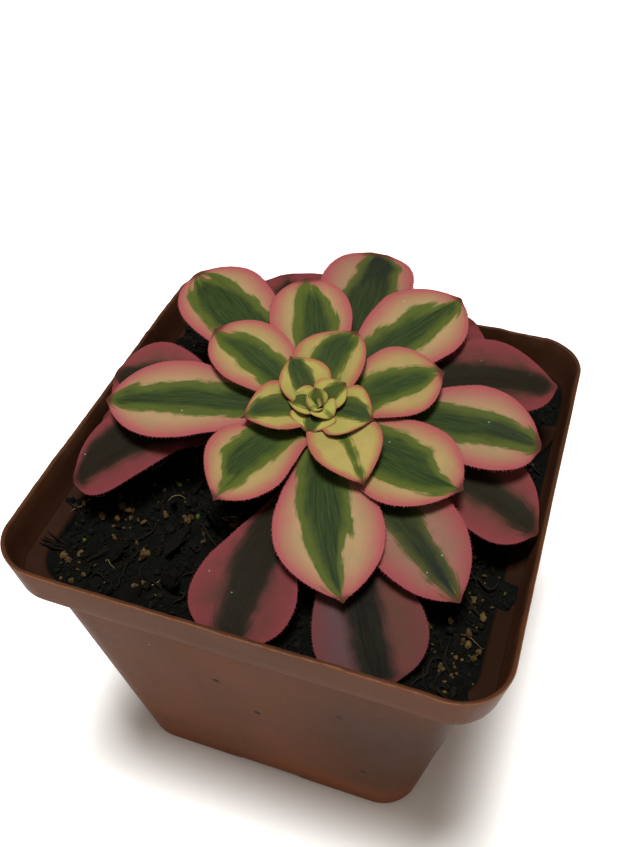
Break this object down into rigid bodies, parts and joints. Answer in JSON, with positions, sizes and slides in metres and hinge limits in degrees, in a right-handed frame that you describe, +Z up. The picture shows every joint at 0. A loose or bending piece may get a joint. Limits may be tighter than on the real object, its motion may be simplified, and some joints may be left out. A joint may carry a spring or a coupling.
{
  "type": "potted succulent",
  "caption": "Variegated rosette succulent with spoon-shaped leaves, growing in soil in a thin square plastic nursery pot with a stepped rim and drainage holes.",
  "frame": {"origin": "middle of the plane that the pot's foot ring stands on, under the centre of the square pot", "axes": "+Z up out of the pot; +X and +Y square to the pot's sides; the rosette leans towards -Y, and the bare corner of soil is at -X -Y"},
  "size_m": [0.09, 0.09, 0.0886],
  "materials": {
    "pot_plastic": "satin moulded terracotta-brown plastic, brighter and slightly worn along the lip",
    "soil": "damp, near-black peat and bark mix, rough and fibrous",
    "stem_bark": "dull brown bark with leaf scars",
    "leaf_bud": "satin yellow-green leaf with a green streak and a thin red margin",
    "leaf_cream": "satin cream leaf with a green streak and a salmon-pink margin",
    "leaf_pink": "satin dusky-pink leaf with an olive-brown streak"
  },
  "bodies": {
    "root": {"pot": "pot_plastic", "soil": "soil", "stem": "stem_bark", "leaf_01": "leaf_bud", "leaf_02": "leaf_bud", "leaf_03": "leaf_bud", "leaf_04": "leaf_bud", "leaf_05": "leaf_bud", "leaf_06": "leaf_bud", "leaf_07": "leaf_bud", "leaf_08": "leaf_cream", "leaf_09": "leaf_cream", "leaf_10": "leaf_cream", "leaf_11": "leaf_cream", "leaf_12": "leaf_cream", "leaf_13": "leaf_cream", "leaf_14": "leaf_cream", "leaf_15": "leaf_cream", "leaf_16": "leaf_cream", "leaf_17": "leaf_cream", "leaf_18": "leaf_cream", "leaf_19": "leaf_cream", "leaf_20": "leaf_cream", "leaf_21": "leaf_cream", "leaf_22": "leaf_cream", "leaf_24": "leaf_cream", "leaf_25": "leaf_cream", "leaf_26": "leaf_pink", "leaf_27": "leaf_pink", "leaf_28": "leaf_pink", "leaf_29": "leaf_pink", "leaf_30": "leaf_pink", "leaf_31": "leaf_pink", "leaf_33": "leaf_pink", "leaf_39": "leaf_pink", "leaf_40": "leaf_pink"}
  },
  "joints": []
}
